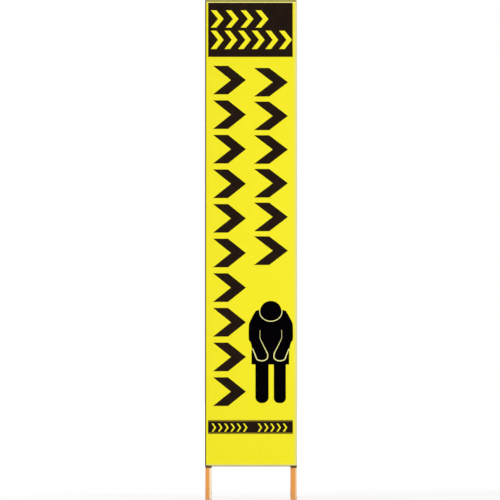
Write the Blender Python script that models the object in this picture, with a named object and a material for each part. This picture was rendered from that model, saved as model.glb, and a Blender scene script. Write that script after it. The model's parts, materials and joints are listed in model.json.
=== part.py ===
"""A slim standing road-works sign: a folded steel plate with a reflective sheet, on a leaning frame of
square tube, propped from behind by a hinged rear frame that two hooked stays hold open.

Metres, +Z up, the sign faces -Y. The origin is on the floor, at the middle of the footprint.
In the front frame's own axes X is across, Y is depth behind the tubes' front faces and Z runs up the tubes.
"""

import math

import bmesh
import bpy

# Sign plate and reflective sheet
BOARD_WIDTH = 0.275
BOARD_HEIGHT = 1.400
PLATE_THICKNESS = 0.0006
FLANGE_DEPTH = 0.014
BEND_RADIUS = 0.0018
BEND_STEPS = 4
SHEET_THICKNESS = 0.0003
SHEET_MARGIN = 0.0032

# Front frame
FRONT_TUBE = 0.019
FRONT_WALL = 0.0010
LEG_SHOWING = 0.101
FRONT_LEAN = math.radians(5.0)
STOWED_STAY_CLEARANCE = 0.026

# Rear frame
REAR_TUBE = 0.016
REAR_WALL = 0.0010
REAR_LEAN = math.radians(14.0)
REAR_UPPER_RAIL_DROP = 0.150
REAR_LOWER_RAIL_HEIGHT = 0.165
REAR_TOP_REACH = 0.011

# Hinges
HINGE_DROP = 0.220
FOLDED_GAP = 0.005
STRAP_THICKNESS = 0.0025
STRAP_HALF_HEIGHT = 0.024
STRAP_EYE_RADIUS = 0.010
STRAP_EDGE = 0.002
HINGE_WASHER_THICKNESS = 0.0008
HINGE_WASHER_RADIUS = 0.0075
BOLT_RADIUS = 0.003
BOLT_HEAD_RADIUS = 0.0062
BOLT_HEAD_HEIGHT = 0.0026
BOLT_HEAD_RIM = 0.0005
BOLT_CROWN_STEPS = 4
BOLT_END_SHOWING = 0.0015
BOLT_END_CHAMFER = 0.00075
NUT_FLATS = 0.010
NUT_HEIGHT = 0.0046
NUT_CHAMFER_HEIGHT = 0.0004
NUT_CHAMFER_STEP = 0.00015
NUT_COLLAR_HEIGHT = 0.0014
NUT_COLLAR_WALL = 0.0008
NUT_COLLAR_LIP = 0.0003

# Hooked stays and their studs
STAY_PIVOT_HEIGHT = 0.420
STAY_WIDTH = 0.016
STAY_THICKNESS = 0.0025
STAY_SPACING = 0.0012
HOOK_LIP_THICKNESS = 0.008
HOOK_LIP_DROP = 0.004
HOOK_RAMP = math.radians(40.0)
STUD_RADIUS = 0.003
STUD_SHOULDER_RADIUS = 0.0045
STUD_HEAD_RADIUS = 0.0055
STUD_HEAD_HEIGHT = 0.0015
STUD_HEAD_CHAMFER = 0.0006
STUD_FLANGE_HEIGHT = 0.0012

# End plugs
PLUG_FLANGE = 0.0020
PLUG_DEPTH = 0.014
TOP_PLUG_DEPTH = 0.0028
PLUG_TAPER = 0.0004

# Clearances and roundness
FIT = 0.0003
HOLE_CLEARANCE = 0.0003
CUTTER_MARGIN = 0.0009
TUBE_CORNER_RADIUS = 0.0020
CORNER_STEPS = 3
ROUND_STEPS = 24
ARC_STEP = math.radians(12.0)
SMOOTH_ANGLE = math.radians(35.0)

# Places that follow from the sizes above
QUARTER_TURN = math.pi / 2
FRAME_HALF_WIDTH = BOARD_WIDTH / 2 - PLATE_THICKNESS - FIT
FRAME_TOP = LEG_SHOWING + BOARD_HEIGHT - BEND_RADIUS
UPRIGHT_INNER_FACE = FRAME_HALF_WIDTH - FRONT_TUBE
STRAP_OUTER_FACE = UPRIGHT_INNER_FACE - FIT
STRAP_INNER_FACE = STRAP_OUTER_FACE - STRAP_THICKNESS
REAR_INNER_FACE = STRAP_OUTER_FACE + HINGE_WASHER_THICKNESS + 2 * FIT
STAY_OUTER_FACE = UPRIGHT_INNER_FACE - STAY_SPACING
STAY_INNER_FACE = STAY_OUTER_FACE - STAY_THICKNESS
HINGE_DEPTH = FRONT_TUBE + FOLDED_GAP + REAR_TUBE / 2
HINGE_HEIGHT = FRAME_TOP - HINGE_DROP

# World places: the hinge axis, the stays' pivots and the studs that the stays hook over
HINGE_BACK = HINGE_DEPTH * math.cos(FRONT_LEAN) + HINGE_HEIGHT * math.sin(FRONT_LEAN)
HINGE_UP = HINGE_HEIGHT * math.cos(FRONT_LEAN) - HINGE_DEPTH * math.sin(FRONT_LEAN)
FOOTPRINT_DEPTH = HINGE_BACK + HINGE_UP * math.tan(REAR_LEAN) + REAR_TUBE / 2 / math.cos(REAR_LEAN)
FRONT_Y = -FOOTPRINT_DEPTH / 2
HINGE_Y = FRONT_Y + HINGE_BACK
PIVOT_DEPTH = FRONT_TUBE / 2
PIVOT_Y = FRONT_Y + PIVOT_DEPTH * math.cos(FRONT_LEAN) + STAY_PIVOT_HEIGHT * math.sin(FRONT_LEAN)
PIVOT_UP = STAY_PIVOT_HEIGHT * math.cos(FRONT_LEAN) - PIVOT_DEPTH * math.sin(FRONT_LEAN)
STUD_DROP = (HINGE_UP - PIVOT_UP) / math.cos(REAR_LEAN)
STAY_REACH = HINGE_Y + STUD_DROP * math.sin(REAR_LEAN) - PIVOT_Y

# The stays swing up beside the uprights as the sign folds, and end below the middle rail
HOOK_SEAT_RADIUS = STUD_RADIUS + HOLE_CLEARANCE
STAY_END = STAY_REACH + HOOK_SEAT_RADIUS + HOOK_LIP_THICKNESS
MIDDLE_RAIL_HEIGHT = STAY_PIVOT_HEIGHT + STAY_END + STOWED_STAY_CLEARANCE + FRONT_TUBE / 2
TOP_RAIL_HEIGHT = FRAME_TOP - FRONT_TUBE / 2
UPPER_RAIL_HEIGHT = (MIDDLE_RAIL_HEIGHT + TOP_RAIL_HEIGHT) / 2


def clear_scene():
    """Removes every object that the scene starts with."""
    for thing in list(bpy.data.objects):
        bpy.data.objects.remove(thing, do_unlink=True)


def finish(name, colour, roughness, metallic=0.0):
    """A Principled material with one plain colour."""
    material = bpy.data.materials.new(name)
    material.use_nodes = True
    shader = material.node_tree.nodes["Principled BSDF"]
    shader.inputs["Base Color"].default_value = (*colour, 1.0)
    shader.inputs["Roughness"].default_value = roughness
    shader.inputs["Metallic"].default_value = metallic
    material.diffuse_color = (*colour, 1.0)
    return material


def axis_empty(name, location, turn):
    """An empty that carries one moving or leaning group, turned about X."""
    empty = bpy.data.objects.new(name, None)
    empty.location = location
    empty.rotation_euler = (turn, 0.0, 0.0)
    bpy.context.scene.collection.objects.link(empty)
    return empty


def place(name, mesh, material, parent, location=(0.0, 0.0, 0.0), rotation=(0.0, 0.0, 0.0)):
    """Puts a mesh into the scene under its parent, shaded smooth where it is round."""
    thing = bpy.data.objects.new(name, mesh)
    thing.location = location
    thing.rotation_euler = rotation
    thing.parent = parent
    mesh.materials.append(material)
    mesh.shade_smooth()
    mesh.set_sharp_from_angle(angle=SMOOTH_ANGLE)
    bpy.context.scene.collection.objects.link(thing)
    return thing


def mesh_from(name, work):
    """Turns a finished bmesh into a mesh with its faces pointing out."""
    bmesh.ops.recalc_face_normals(work, faces=work.faces)
    mesh = bpy.data.meshes.new(name)
    work.to_mesh(mesh)
    work.free()
    return mesh


def skin(name, loops, closed=False):
    """A mesh through loops of equal length. Its ends are capped or, when closed, joined to each other."""
    work = bmesh.new()
    rings = [[work.verts.new(point) for point in loop] for loop in loops]
    pairs = list(zip(rings, rings[1:]))
    if closed:
        pairs.append((rings[-1], rings[0]))
    else:
        work.faces.new(rings[0])
        work.faces.new(rings[-1])
    for lower, upper in pairs:
        for here in range(len(lower)):
            there = (here + 1) % len(lower)
            work.faces.new((lower[here], lower[there], upper[there], upper[here]))
    return mesh_from(name, work)


def extruded(name, outline, thickness):
    """A plate of the given outline in Y and Z, with its thickness shared to both sides of X = 0."""
    work = bmesh.new()
    face = work.faces.new([work.verts.new((-thickness / 2, y, z)) for y, z in outline])
    grown = bmesh.ops.extrude_face_region(work, geom=[face])["geom"]
    moved = [item for item in grown if isinstance(item, bmesh.types.BMVert)]
    bmesh.ops.translate(work, verts=moved, vec=(thickness, 0.0, 0.0))
    return mesh_from(name, work)


def arc(centre, radius, start, end):
    """Points along an arc from one angle to another, both in radians."""
    steps = max(1, round(abs(end - start) / ARC_STEP))
    angles = [start + (end - start) * step / steps for step in range(steps + 1)]
    return [(centre[0] + radius * math.cos(a), centre[1] + radius * math.sin(a)) for a in angles]


def rounded_square(side, corner):
    """Outline of a square section with round corners, centred on the origin."""
    inset = side / 2 - corner
    points = []
    for quarter in range(4):
        start = quarter * QUARTER_TURN
        middle = start + QUARTER_TURN / 2
        centre = (math.copysign(inset, math.cos(middle)), math.copysign(inset, math.sin(middle)))
        for step in range(CORNER_STEPS + 1):
            angle = start + QUARTER_TURN * step / CORNER_STEPS
            points.append((centre[0] + corner * math.cos(angle), centre[1] + corner * math.sin(angle)))
    return points


def circle(radius):
    """Outline of a round section."""
    turns = [math.tau * step / ROUND_STEPS for step in range(ROUND_STEPS)]
    return [(radius * math.cos(a), radius * math.sin(a)) for a in turns]


def hexagon(flats):
    """Outline of a hexagon by its width across flats, with as many points as a circle has."""
    sixth = math.tau / 6
    points = []
    for step in range(ROUND_STEPS):
        angle = math.tau * step / ROUND_STEPS
        reach = flats / 2 / math.cos(angle % sixth - sixth / 2)
        points.append((reach * math.cos(angle), reach * math.sin(angle)))
    return points


def at_height(outline, height, slope=0.0):
    """Lifts an outline to a height that rises by the slope along Y, as a slanting saw cut does."""
    return [(x, y, height + slope * y) for x, y in outline]


def tube(name, side, wall, bottom, top, bottom_slope=0.0):
    """A square tube along Z, open at both ends, whose lower end may be cut on a slant."""
    outside = rounded_square(side, TUBE_CORNER_RADIUS)
    inside = rounded_square(side - 2 * wall, TUBE_CORNER_RADIUS - wall)
    loops = [
        at_height(outside, bottom, bottom_slope),
        at_height(outside, top),
        at_height(inside, top),
        at_height(inside, bottom, bottom_slope),
    ]
    return skin(name, loops, closed=True)


def plug(name, side, wall, sole, seat, slope, reach):
    """An end plug: a flange as wide as its tube, from sole to seat, and a tapered body inside the tube."""
    flange = rounded_square(side, TUBE_CORNER_RADIUS)
    body = rounded_square(side - 2 * wall - 2 * FIT, TUBE_CORNER_RADIUS - wall)
    nose = rounded_square(side - 2 * wall - 2 * FIT - 2 * PLUG_TAPER, TUBE_CORNER_RADIUS - wall)
    loops = [
        at_height(flange, sole, slope),
        at_height(flange, seat, slope),
        at_height(body, seat, slope),
        at_height(nose, seat + reach),
    ]
    return skin(name, loops)


def drill(target, name, location, radius, wall):
    """Cuts a round hole along X through a wall centred on the location, in the axes of its parent."""
    reach = wall / 2 + CUTTER_MARGIN
    loops = [at_height(circle(radius), -reach), at_height(circle(radius), reach)]
    cutter = bpy.data.objects.new(name, skin(name, loops))
    cutter.location = location
    cutter.rotation_euler = (0.0, QUARTER_TURN, 0.0)
    cutter.parent = target.parent
    cutter.hide_render = True
    cutter.display_type = "WIRE"
    bpy.context.scene.collection.objects.link(cutter)
    hole = target.modifiers.new(name, "BOOLEAN")
    hole.operation = "DIFFERENCE"
    hole.object = cutter


def rail(name, side, wall, span, material, parent, location):
    """A straight cross tube along X, with its ends butted against the tubes that it joins."""
    mesh = tube(name, side, wall, -span / 2, span / 2)
    return place(name, mesh, material, parent, location, (0.0, QUARTER_TURN, 0.0))


def folded_plate(name):
    """The sign plate: a flat front with bent flanges, left open at the corners and where the legs pass."""
    half = BOARD_WIDTH / 2 - BEND_RADIUS
    low = LEG_SHOWING
    high = LEG_SHOWING + BOARD_HEIGHT - BEND_RADIUS
    mouth = UPRIGHT_INNER_FACE - FIT
    front = -FIT - PLATE_THICKNESS
    bends = [QUARTER_TURN * step / BEND_STEPS for step in range(BEND_STEPS + 1)]
    profile = [(BEND_RADIUS * math.sin(a), BEND_RADIUS * (1 - math.cos(a))) for a in bends]
    profile.append((BEND_RADIUS, FLANGE_DEPTH))
    bottom_line = low + BEND_RADIUS
    corners = [
        (-half, low),
        (-mouth, low),
        (-mouth, bottom_line),
        (mouth, bottom_line),
        (mouth, low),
        (half, low),
        (half, high),
        (-half, high),
    ]
    # Each flange grows from the side between two of those corners, in the direction given.
    flanges = [(2, 3, (0, -1)), (5, 6, (1, 0)), (6, 7, (0, 1)), (7, 0, (-1, 0))]
    work = bmesh.new()
    flat = [work.verts.new((x, front, z)) for x, z in corners]
    work.faces.new(flat)
    for first, last, (across, up) in flanges:
        edge = (flat[first], flat[last])
        for out, back in profile[1:]:
            ends = []
            for x, z in (corners[first], corners[last]):
                ends.append(work.verts.new((x + across * out, front + back, z + up * out)))
            work.faces.new((edge[0], edge[1], ends[1], ends[0]))
            edge = tuple(ends)
    bmesh.ops.recalc_face_normals(work, faces=work.faces)
    flat_face = max(work.faces, key=lambda face: face.calc_area())
    if flat_face.normal.y > 0:
        bmesh.ops.reverse_faces(work, faces=work.faces)
    mesh = bpy.data.meshes.new(name)
    work.to_mesh(mesh)
    work.free()
    return mesh


def add_sign_plate(parent, steel, yellow):
    """The folded plate over the frame's front, and the reflective sheet bonded to it."""
    plate = place("sign_plate", folded_plate("sign_plate"), steel, parent)
    wall = plate.modifiers.new("plate_wall", "SOLIDIFY")
    wall.thickness = PLATE_THICKNESS
    wall.offset = -1.0
    wall.use_even_offset = True
    half = BOARD_WIDTH / 2 - SHEET_MARGIN
    middle = LEG_SHOWING + BOARD_HEIGHT / 2
    reach = BOARD_HEIGHT / 2 - SHEET_MARGIN
    low = middle - reach
    high = middle + reach
    corners = [(-half, low), (half, low), (half, high), (-half, high)]
    back = -2 * FIT - PLATE_THICKNESS
    loops = [[(x, depth, z) for x, z in corners] for depth in (back, back - SHEET_THICKNESS)]
    place("reflective_sheet", skin("reflective_sheet", loops), yellow, parent)


def add_front_frame(parent, paint):
    """Two uprights that run down into the legs, and four cross rails between them."""
    slope = math.tan(FRONT_LEAN)
    cut = (PLUG_FLANGE + FIT) / math.cos(FRONT_LEAN) + FRONT_TUBE / 2 * slope
    centre = FRAME_HALF_WIDTH - FRONT_TUBE / 2
    for side, sign in (("left", -1), ("right", 1)):
        mesh = tube(f"{side}_upright", FRONT_TUBE, FRONT_WALL, cut, FRAME_TOP, slope)
        upright = place(f"{side}_upright", mesh, paint, parent, (sign * centre, FRONT_TUBE / 2, 0.0))
        hole = (sign * (UPRIGHT_INNER_FACE + FRONT_WALL / 2), PIVOT_DEPTH, STAY_PIVOT_HEIGHT)
        drill(upright, f"{side}_pivot_hole", hole, HOOK_SEAT_RADIUS, FRONT_WALL)
    heights = {
        "top_rail": TOP_RAIL_HEIGHT,
        "upper_rail": UPPER_RAIL_HEIGHT,
        "middle_rail": MIDDLE_RAIL_HEIGHT,
        "bottom_rail": LEG_SHOWING + BEND_RADIUS + FRONT_TUBE / 2,
    }
    span = 2 * (UPRIGHT_INNER_FACE - FIT)
    for name, height in heights.items():
        rail(name, FRONT_TUBE, FRONT_WALL, span, paint, parent, (0.0, FRONT_TUBE / 2, height))


def add_front_feet(parent, plastic):
    """The plugs in the lower ends of the front legs, with soles flat on the floor."""
    slope = math.tan(FRONT_LEAN)
    sole = FRONT_TUBE / 2 * slope
    seat = sole + PLUG_FLANGE / math.cos(FRONT_LEAN)
    centre = FRAME_HALF_WIDTH - FRONT_TUBE / 2
    for side, sign in (("left", -1), ("right", 1)):
        name = f"{side}_front_foot"
        mesh = plug(name, FRONT_TUBE, FRONT_WALL, sole, seat, slope, PLUG_DEPTH)
        place(name, mesh, plastic, parent, (sign * centre, FRONT_TUBE / 2, 0.0))


def strap_outline():
    """A hinge strap: a tall foot welded along the upright, whose back edges run on into a round eye."""
    foot = FRONT_TUBE - STRAP_EDGE
    back = HINGE_DEPTH - foot
    to_corner = math.pi - math.atan2(STRAP_HALF_HEIGHT, back)
    tangent = to_corner - math.acos(STRAP_EYE_RADIUS / math.hypot(back, STRAP_HALF_HEIGHT))
    outline = [(STRAP_EDGE, HINGE_HEIGHT - STRAP_HALF_HEIGHT), (foot, HINGE_HEIGHT - STRAP_HALF_HEIGHT)]
    outline += arc((HINGE_DEPTH, HINGE_HEIGHT), STRAP_EYE_RADIUS, -tangent, tangent)
    outline += [(foot, HINGE_HEIGHT + STRAP_HALF_HEIGHT), (STRAP_EDGE, HINGE_HEIGHT + STRAP_HALF_HEIGHT)]
    return outline


def hinge_bolt(name):
    """A round-headed bolt along Z, with the crown of its head at the origin."""
    length = BOLT_HEAD_HEIGHT + REAR_TUBE + HINGE_WASHER_THICKNESS + STRAP_THICKNESS
    length += 4 * FIT + NUT_HEIGHT + NUT_COLLAR_HEIGHT + BOLT_END_SHOWING
    crown = BOLT_HEAD_HEIGHT - BOLT_HEAD_RIM
    loops = []
    for step in range(BOLT_CROWN_STEPS):
        angle = QUARTER_TURN * (step + 1) / BOLT_CROWN_STEPS
        radius = BOLT_HEAD_RADIUS * math.sin(angle)
        loops.append(at_height(circle(radius), crown * (1 - math.cos(angle))))
    loops.append(at_height(circle(BOLT_HEAD_RADIUS), BOLT_HEAD_HEIGHT))
    loops.append(at_height(circle(BOLT_RADIUS), BOLT_HEAD_HEIGHT))
    loops.append(at_height(circle(BOLT_RADIUS), length - BOLT_END_CHAMFER))
    loops.append(at_height(circle(BOLT_RADIUS - BOLT_END_CHAMFER), length))
    return skin(name, loops)


def lock_nut(name):
    """A hexagonal lock nut along Z, with its seat at the origin and a round collar on its far side."""
    bore_radius = BOLT_RADIUS + HOLE_CLEARANCE
    bore = circle(bore_radius)
    hexagonal = hexagon(NUT_FLATS)
    chamfer = circle(NUT_FLATS / 2 - NUT_CHAMFER_STEP)
    top = NUT_HEIGHT + NUT_COLLAR_HEIGHT
    loops = [
        at_height(bore, 0.0),
        at_height(chamfer, 0.0),
        at_height(hexagonal, NUT_CHAMFER_HEIGHT),
        at_height(hexagonal, NUT_HEIGHT - NUT_CHAMFER_HEIGHT),
        at_height(chamfer, NUT_HEIGHT),
        at_height(circle(bore_radius + NUT_COLLAR_WALL), NUT_HEIGHT + NUT_COLLAR_HEIGHT / 2),
        at_height(circle(bore_radius + NUT_COLLAR_LIP), top),
        at_height(bore, top),
    ]
    return skin(name, loops, closed=True)


def washer(name):
    """A flat washer along Z, from the origin up."""
    bore = circle(BOLT_RADIUS + HOLE_CLEARANCE)
    rim = circle(HINGE_WASHER_RADIUS)
    heights = (0.0, HINGE_WASHER_THICKNESS)
    loops = [at_height(bore, heights[0]), at_height(rim, heights[0])]
    loops += [at_height(rim, heights[1]), at_height(bore, heights[1])]
    return skin(name, loops, closed=True)


def add_hinges(parent, paint, zinc, nylon):
    """A strap, bolt, nut and washer on each side, all fixed to the front frame."""
    for side, sign in (("left", -1), ("right", 1)):
        turn = (0.0, -sign * QUARTER_TURN, 0.0)
        middle = sign * (STRAP_INNER_FACE + STRAP_OUTER_FACE) / 2
        mesh = extruded(f"{side}_hinge_strap", strap_outline(), STRAP_THICKNESS)
        strap = place(f"{side}_hinge_strap", mesh, paint, parent, (middle, 0.0, 0.0))
        hole = (middle, HINGE_DEPTH, HINGE_HEIGHT)
        drill(strap, f"{side}_strap_hole", hole, BOLT_RADIUS + HOLE_CLEARANCE, STRAP_THICKNESS)
        crown = sign * (REAR_INNER_FACE + REAR_TUBE + FIT + BOLT_HEAD_HEIGHT)
        seat = sign * (STRAP_INNER_FACE - FIT)
        spacer = sign * (REAR_INNER_FACE - FIT)
        for piece, make, material, x in (
            ("hinge_bolt", hinge_bolt, zinc, crown),
            ("hinge_nut", lock_nut, zinc, seat),
            ("hinge_washer", washer, nylon, spacer),
        ):
            name = f"{side}_{piece}"
            place(name, make(name), material, parent, (x, HINGE_DEPTH, HINGE_HEIGHT), turn)


def add_rear_frame(parent, paint, plastic):
    """Two rear legs hung from the hinge axis, their rails, and the plugs in their ends."""
    slope = -math.tan(REAR_LEAN)
    sole = -HINGE_UP / math.cos(REAR_LEAN)
    seat = sole + PLUG_FLANGE / math.cos(REAR_LEAN)
    cut = seat + FIT / math.cos(REAR_LEAN)
    top = REAR_TOP_REACH - PLUG_FLANGE
    centre = REAR_INNER_FACE + REAR_TUBE / 2
    for side, sign in (("left", -1), ("right", 1)):
        place_x = (sign * centre, 0.0, 0.0)
        mesh = tube(f"{side}_rear_leg", REAR_TUBE, REAR_WALL, cut, top - FIT, slope)
        leg = place(f"{side}_rear_leg", mesh, paint, parent, place_x)
        drill(leg, f"{side}_bolt_hole", place_x, BOLT_RADIUS + HOLE_CLEARANCE, REAR_TUBE)
        hole = (sign * (REAR_INNER_FACE + REAR_WALL / 2), 0.0, -STUD_DROP)
        drill(leg, f"{side}_stud_hole", hole, HOOK_SEAT_RADIUS, REAR_WALL)
        foot = plug(f"{side}_rear_foot", REAR_TUBE, REAR_WALL, sole, seat, slope, PLUG_DEPTH)
        place(f"{side}_rear_foot", foot, plastic, parent, place_x)
        name = f"{side}_rear_top_plug"
        cap = plug(name, REAR_TUBE, REAR_WALL, REAR_TOP_REACH, top, 0.0, -TOP_PLUG_DEPTH)
        place(name, cap, plastic, parent, place_x)
    lower = (REAR_LOWER_RAIL_HEIGHT - HINGE_UP) / math.cos(REAR_LEAN)
    span = 2 * (REAR_INNER_FACE - FIT)
    for name, height in (("rear_upper_rail", -REAR_UPPER_RAIL_DROP), ("rear_lower_rail", lower)):
        rail(name, REAR_TUBE, REAR_WALL, span, paint, parent, (0.0, 0.0, height))


def stud(name, tube_face, wall):
    """A shouldered stud along Z, riveted in a tube wall whose face is at the given distance inward.

    The origin is the inner side of the stay, so that the head sits just past it.
    """
    flange = tube_face + wall + FIT
    shoulder = STAY_THICKNESS + FIT
    loops = [
        at_height(circle(STUD_SHOULDER_RADIUS), flange + STUD_FLANGE_HEIGHT),
        at_height(circle(STUD_SHOULDER_RADIUS), flange),
        at_height(circle(STUD_RADIUS), flange),
        at_height(circle(STUD_RADIUS), tube_face - FIT),
        at_height(circle(STUD_SHOULDER_RADIUS), tube_face - FIT),
        at_height(circle(STUD_SHOULDER_RADIUS), shoulder),
        at_height(circle(STUD_RADIUS), shoulder),
        at_height(circle(STUD_RADIUS), -FIT),
        at_height(circle(STUD_HEAD_RADIUS), -FIT),
        at_height(circle(STUD_HEAD_RADIUS), STUD_HEAD_CHAMFER - FIT - STUD_HEAD_HEIGHT),
        at_height(circle(STUD_HEAD_RADIUS - STUD_HEAD_CHAMFER), -FIT - STUD_HEAD_HEIGHT),
    ]
    return skin(name, loops)


def add_studs(front, rear, zinc):
    """The pivot studs on the uprights and the latch studs on the rear legs."""
    for side, sign in (("left", -1), ("right", 1)):
        turn = (0.0, sign * QUARTER_TURN, 0.0)
        x = sign * STAY_INNER_FACE
        pivot = stud(f"{side}_stay_pivot_stud", UPRIGHT_INNER_FACE - STAY_INNER_FACE, FRONT_WALL)
        place(f"{side}_stay_pivot_stud", pivot, zinc, front, (x, PIVOT_DEPTH, STAY_PIVOT_HEIGHT), turn)
        latch = stud(f"{side}_latch_stud", REAR_INNER_FACE - STAY_INNER_FACE, REAR_WALL)
        place(f"{side}_latch_stud", latch, zinc, rear, (x, 0.0, -STUD_DROP), turn)


def stay_outline():
    """A flat bar from its round pivot end to a hook whose ramp lets the latch stud leave forwards."""
    half = STAY_WIDTH / 2
    tip_radius = HOOK_LIP_THICKNESS / 2
    tip = (STAY_END - tip_radius, tip_radius - half - HOOK_LIP_DROP)
    ramp_angle = QUARTER_TURN + HOOK_RAMP
    ramp_top = (
        STAY_REACH + HOOK_SEAT_RADIUS * math.cos(ramp_angle),
        HOOK_SEAT_RADIUS * math.sin(ramp_angle),
    )
    ramp_foot = ramp_top[0] - (ramp_top[1] + half) / math.tan(HOOK_RAMP)
    outline = arc((0.0, 0.0), half, QUARTER_TURN, 3 * QUARTER_TURN)
    outline.append((ramp_foot, -half))
    outline += arc((STAY_REACH, 0.0), HOOK_SEAT_RADIUS, ramp_angle, 0.0)
    outline += arc(tip, tip_radius, -math.pi, 0.0)
    outline += arc((STAY_END - half, 0.0), half, 0.0, QUARTER_TURN)
    return outline


def add_stays(front, zinc):
    """The two hooked stays, each turning on its own pivot on the front frame."""
    for side, sign in (("left", -1), ("right", 1)):
        pivot = axis_empty(f"{side}_stay_axis", (0.0, PIVOT_DEPTH, STAY_PIVOT_HEIGHT), FRONT_LEAN)
        pivot.parent = front
        middle = (sign * (STAY_INNER_FACE + STAY_OUTER_FACE) / 2, 0.0, 0.0)
        mesh = extruded(f"{side}_stay", stay_outline(), STAY_THICKNESS)
        stay = place(f"{side}_stay", mesh, zinc, pivot, middle)
        drill(stay, f"{side}_stay_hole", middle, HOOK_SEAT_RADIUS, STAY_THICKNESS)


def build():
    """Builds the whole sign, standing open."""
    clear_scene()
    orange = finish("orange_paint", (0.83, 0.35, 0.09), 0.42)
    yellow = finish("yellow_reflective_sheet", (0.90, 0.81, 0.02), 0.35)
    galvanised = finish("pale_galvanised_steel", (0.62, 0.62, 0.58), 0.45, 0.6)
    zinc = finish("zinc_plate", (0.60, 0.60, 0.58), 0.35, 1.0)
    plastic = finish("orange_plastic", (0.78, 0.34, 0.11), 0.55)
    nylon = finish("white_nylon", (0.75, 0.74, 0.70), 0.50)
    front = axis_empty("front_frame_axis", (0.0, FRONT_Y, 0.0), -FRONT_LEAN)
    rear = axis_empty("rear_frame_axis", (0.0, HINGE_Y, HINGE_UP), REAR_LEAN)
    add_sign_plate(front, galvanised, yellow)
    add_front_frame(front, orange)
    add_front_feet(front, plastic)
    add_hinges(front, orange, zinc, nylon)
    add_rear_frame(rear, orange, plastic)
    add_studs(front, rear, zinc)
    add_stays(front, zinc)


build()
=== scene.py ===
"""The finished looks of a slim standing road-works sign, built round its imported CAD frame.

Metres, +Z up, the sign faces -Y. A frame that leans has its own axes: across, depth behind its origin
and up along its tubes. The board's print is laid out across the board and up from its lower edge.
"""

import json
import logging
import math
from collections.abc import Iterable, Sequence
from dataclasses import dataclass, field
from enum import Enum
from functools import cache, cached_property, partialmethod, reduce
from typing import ClassVar

import bmesh
import bpy
from bmesh.types import BMesh
from bpy.types import ID, Material, Mesh, Node, NodeSocket, NodeTree, Object
from mathutils import Matrix, Vector


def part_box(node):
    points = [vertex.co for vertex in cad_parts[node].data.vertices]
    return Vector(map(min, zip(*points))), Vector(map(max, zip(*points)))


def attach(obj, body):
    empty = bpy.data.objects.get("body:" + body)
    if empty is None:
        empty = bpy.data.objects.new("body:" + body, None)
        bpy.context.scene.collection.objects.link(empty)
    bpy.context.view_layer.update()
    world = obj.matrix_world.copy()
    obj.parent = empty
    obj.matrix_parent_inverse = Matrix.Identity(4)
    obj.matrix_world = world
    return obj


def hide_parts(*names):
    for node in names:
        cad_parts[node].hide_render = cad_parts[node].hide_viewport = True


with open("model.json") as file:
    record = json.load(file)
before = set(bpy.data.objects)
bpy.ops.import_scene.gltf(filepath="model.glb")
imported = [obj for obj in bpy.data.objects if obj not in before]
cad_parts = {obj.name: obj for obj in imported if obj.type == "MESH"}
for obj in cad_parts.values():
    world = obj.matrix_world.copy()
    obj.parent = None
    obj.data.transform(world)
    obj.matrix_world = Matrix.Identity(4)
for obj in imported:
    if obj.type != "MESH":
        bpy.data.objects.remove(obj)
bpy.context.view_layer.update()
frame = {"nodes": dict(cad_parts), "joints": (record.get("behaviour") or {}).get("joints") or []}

log = logging.getLogger("sign")

MERGE_DISTANCE = 1e-6
FLAT_ANGLE = math.radians(0.5)
SMOOTH_ANGLE = math.radians(35.0)
TUBE_BREAK = 0.00022
STAY_BREAK = 0.0003
FITTING_BREAK = 0.00012
SHEET_BREAK = 0.0001
OVAL_STEPS = 24
SIDES = (("left", -1), ("right", 1))

Point = tuple[float, float]
Span = tuple[float, float]
Triple = tuple[float, float, float]
Colour = tuple[float, float, float]
Line = Sequence[Vector]

WHITE: Colour = (1.0, 1.0, 1.0)


class Body(Enum):
    """The CAD bodies that pieces ride on."""

    FRONT = "front_frame"
    REAR = "rear_frame"
    LEFT_STAY = "left_stay"
    RIGHT_STAY = "right_stay"


class Slot(Enum):
    """The record's material slots."""

    PAINT = "frame_paint"
    PLATE = "plate_steel"
    SHEET = "sign_sheet"
    ZINC = "zinc_steel"
    PLASTIC = "plug_plastic"
    NYLON = "washer_nylon"


class Layer(Enum):
    """What a print lies on: the depth of its front, and how thick a print on it is."""

    SHEET = (-0.0015, 0.00012)
    INK = (-0.00162, 0.00008)


@dataclass(eq=False)
class Value:
    """A number on its way through a node tree. Arithmetic on it adds Math nodes."""

    book: "NodeBook"
    socket: NodeSocket

    def _math(self, operation: str, *others: "Value | float") -> "Value":
        """Adds one Math node on this value and any others."""
        return self.book.math(operation, self, *others)

    def _swapped(self, operation: str, other: float) -> "Value":
        """Adds one Math node on a number and this value, in that order."""
        return self.book.math(operation, other, self)

    __add__ = partialmethod(_math, "ADD")
    __radd__ = partialmethod(_swapped, "ADD")
    __sub__ = partialmethod(_math, "SUBTRACT")
    __rsub__ = partialmethod(_swapped, "SUBTRACT")
    __mul__ = partialmethod(_math, "MULTIPLY")
    __rmul__ = partialmethod(_swapped, "MULTIPLY")
    __truediv__ = partialmethod(_math, "DIVIDE")
    __rtruediv__ = partialmethod(_swapped, "DIVIDE")
    __abs__ = partialmethod(_math, "ABSOLUTE")
    __lt__ = partialmethod(_math, "LESS_THAN")
    root = partialmethod(_math, "SQRT")
    least = partialmethod(_math, "MINIMUM")
    most = partialmethod(_math, "MAXIMUM")
    fraction = partialmethod(_math, "FRACT")

    def step(self, span: Span) -> "Value":
        """A smooth step from 0 to 1.

        Args:
            span: The value that gives 0 and the one that gives 1, which may be the lower of the two.

        Returns:
            The stepped value.
        """
        rising = float(span[0] <= span[1])
        inputs = {"Value": self, "From Min": min(span), "From Max": max(span)}
        inputs.update({"To Min": 1.0 - rising, "To Max": rising})
        settings = {"interpolation_type": "SMOOTHSTEP", "clamp": True}
        return self.book.value(self.book.add("ShaderNodeMapRange", inputs, **settings))


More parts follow.
